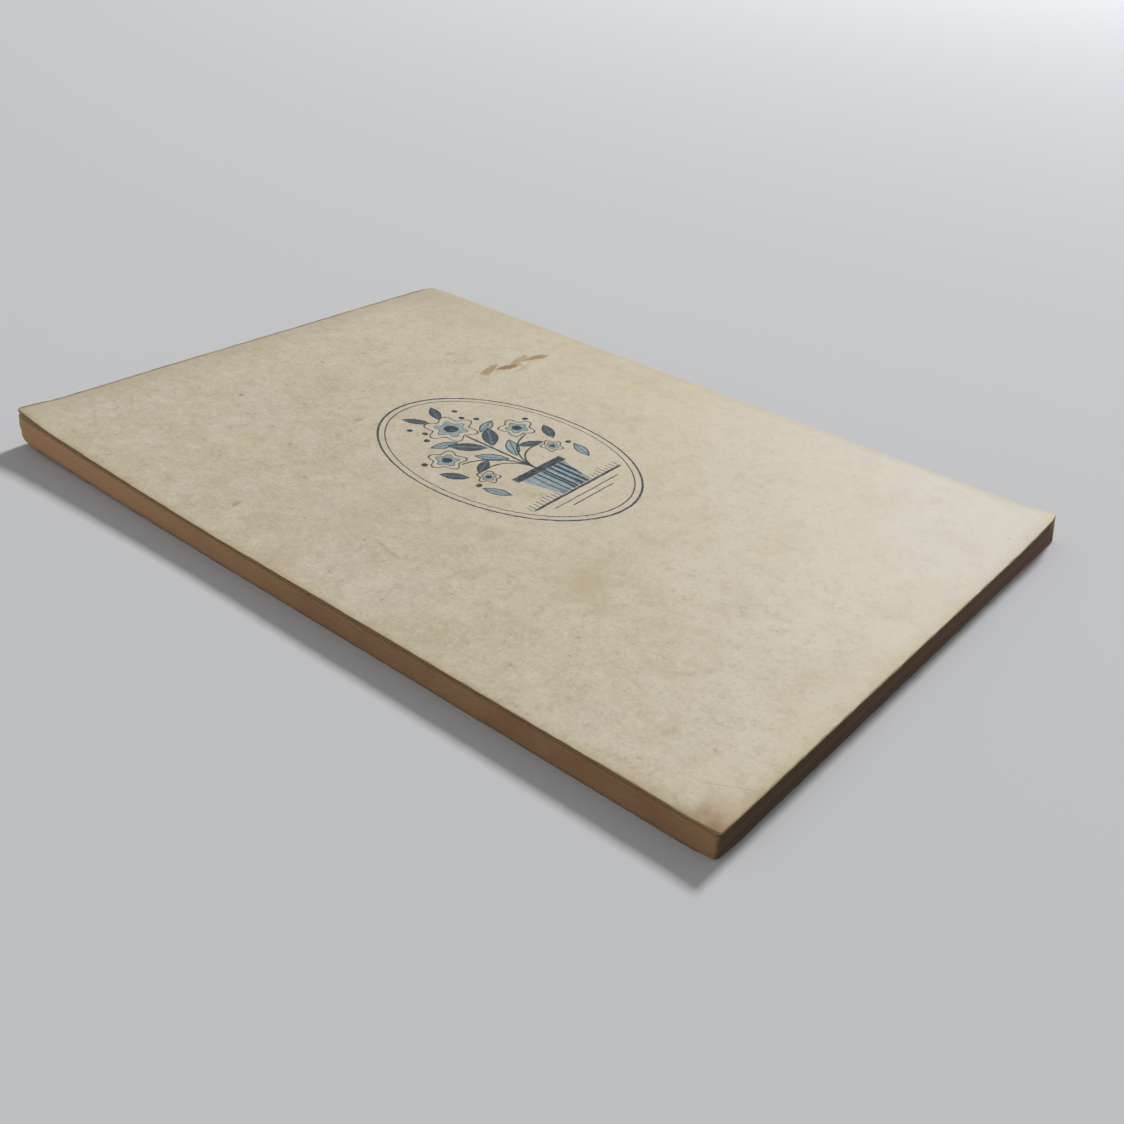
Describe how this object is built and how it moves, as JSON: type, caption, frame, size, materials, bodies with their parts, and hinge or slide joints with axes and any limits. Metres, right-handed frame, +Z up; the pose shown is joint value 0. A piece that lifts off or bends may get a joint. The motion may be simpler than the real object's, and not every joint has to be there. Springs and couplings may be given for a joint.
{
  "type": "paperback book",
  "caption": "Thin square-back paperback lying closed on its front cover, with two paper covers that open at the spine and leaves swollen at one corner.",
  "frame": {"origin": "middle of the book's underside, on the table that it lies on", "axes": "+Z up through the back cover, +Y towards the head of the pages, +X towards the spine"},
  "size_m": [0.152, 0.22, 0.0102],
  "materials": {
    "pages": "matte",
    "cover": "matte",
    "glue": "matte"
  },
  "bodies": {
    "book_block": {"page_block": "pages", "spine_glue": "glue", "spine_cover": "cover"},
    "back_cover": {"back_cover": "cover"},
    "front_cover": {"front_cover": "cover"}
  },
  "joints": [
    {"name": "back_cover_hinge", "type": "hinge", "parent": "book_block", "child": "back_cover", "pos_m": [0.07585, 0, 0.00645], "axis": [0, 1, 0], "range_deg": [0, 175]},
    {"name": "front_cover_hinge", "type": "hinge", "parent": "book_block", "child": "front_cover", "pos_m": [0.07585, 0, 0.00015], "axis": [0, -1, 0], "range_deg": [0, 175]}
  ]
}
